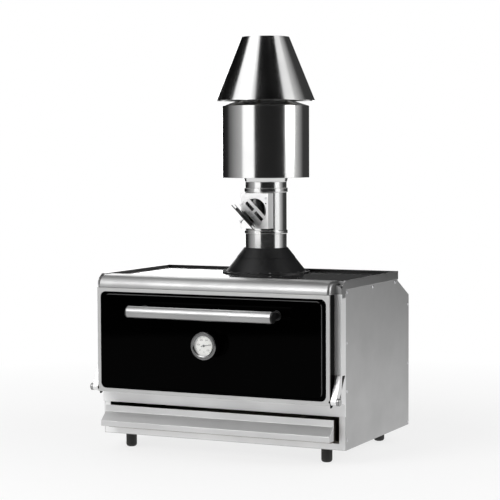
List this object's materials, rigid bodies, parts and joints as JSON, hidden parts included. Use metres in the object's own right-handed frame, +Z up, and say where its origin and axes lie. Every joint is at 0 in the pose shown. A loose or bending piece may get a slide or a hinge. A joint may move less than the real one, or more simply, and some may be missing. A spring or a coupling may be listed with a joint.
{
  "type": "charcoal grill oven",
  "caption": "Free-standing countertop charcoal grill oven with a drop-down door, racks, ash drawer and a flue with damper, firebreak drum and hat.",
  "frame": {"origin": "on the table, in the middle of the object's outline seen from above", "axes": "+X to the right seen from the door side, +Y from the door to the back, +Z up"},
  "size_m": [0.946, 0.788, 1.456],
  "materials": {
    "casing_steel": "satin brushed stainless sheet",
    "polished_steel": "polished stainless",
    "dark_steel": "heat-resistant dark paint, satin",
    "door_enamel": "glossy black enamel",
    "inner_steel": "heat-dulled steel",
    "cast_iron": "raw cast",
    "mineral_wool": "fibrous",
    "seal_rope": "woven glass rope",
    "black_rubber": "matte",
    "black_plastic": "satin moulded",
    "fastener_steel": "bright",
    "bush_brass": "turned",
    "dial_white": "satin white enamel",
    "needle_black": "satin black",
    "lens_glass": "clear"
  },
  "bodies": {
    "oven": {"left_side_panel": "casing_steel", "right_side_panel": "casing_steel", "rear_panel": "casing_steel", "base_panel": "casing_steel", "top_cover": "polished_steel", "top_trim": "casing_steel", "front_canopy": "casing_steel", "fascia_frame": "casing_steel", "lower_front_frame": "casing_steel", "chassis_frame": "inner_steel", "feet": "black_rubber", "foot_studs": "fastener_steel", "side_screws": "fastener_steel", "firebox": "inner_steel", "insulation_slabs": "mineral_wool", "charcoal_grate": "cast_iron", "left_rack_rails": "inner_steel", "right_rack_rails": "inner_steel", "drawer_runners": "inner_steel", "left_hinge_arm": "polished_steel", "right_hinge_arm": "polished_steel", "hinge_pins": "polished_steel", "flue_flange": "dark_steel", "flange_bolts": "fastener_steel", "flue_cone": "dark_steel", "cone_collar": "dark_steel", "lower_flue_pipe": "polished_steel", "clamp_bands": "polished_steel", "damper_pipe": "polished_steel", "upper_flue_pipe": "polished_steel", "firebreak_drum": "polished_steel", "firebreak_lid": "polished_steel", "spark_baffle": "inner_steel", "flue_hat": "polished_steel", "hat_struts": "inner_steel", "damper_housing": "polished_steel", "damper_bracket": "polished_steel", "damper_screws": "fastener_steel"},
    "door": {"door_shell": "door_enamel", "door_rim": "casing_steel", "door_panel": "door_enamel", "door_inner_panel": "inner_steel", "door_insulation": "mineral_wool", "door_seal": "seal_rope", "hinge_bushes": "bush_brass", "handle_bar": "casing_steel", "handle_caps": "black_plastic", "handle_posts": "black_plastic", "thermometer_case": "polished_steel", "thermometer_bezel": "polished_steel", "thermometer_dial": "dial_white", "thermometer_lens": "lens_glass"},
    "needle": {"needle": "needle_black"},
    "drawer": {"drawer_front": "casing_steel", "drawer_box": "inner_steel"},
    "flap": {"damper_flap": "polished_steel", "flap_pivot": "fastener_steel", "flap_weight": "fastener_steel"},
    "upper_rack": {"upper_rack": "fastener_steel"},
    "lower_rack": {"lower_rack": "fastener_steel"}
  },
  "joints": [
    {"name": "door_hinge", "type": "hinge", "parent": "oven", "child": "door", "pos_m": [0, -0.281, 0.223], "axis": [1, 0, 0], "range_deg": [0, 85]},
    {"name": "needle_turn", "type": "hinge", "parent": "door", "child": "needle", "pos_m": [0, -0.34, 0.394], "axis": [0, 1, 0], "range_deg": [-215, 55]},
    {"name": "drawer_slide", "type": "slide", "parent": "oven", "child": "drawer", "axis": [0, -1, 0], "range_m": [0, 0.24]},
    {"name": "flap_turn", "type": "hinge", "parent": "oven", "child": "flap", "pos_m": [-0.02758, 0.053, 0.80642], "axis": [0.7071, 0, -0.7071], "range_deg": [-70, 10]},
    {"name": "upper_rack_slide", "type": "slide", "parent": "oven", "child": "upper_rack", "axis": [0, -1, 0], "range_m": [0, 0.186]},
    {"name": "lower_rack_slide", "type": "slide", "parent": "oven", "child": "lower_rack", "axis": [0, -1, 0], "range_m": [0, 0.186]}
  ],
  "couplings": [
    {"joint": "upper_rack_slide", "follows": "door_hinge", "m_per_rad": 0.1253},
    {"joint": "lower_rack_slide", "follows": "door_hinge", "m_per_rad": 0.1253}
  ]
}
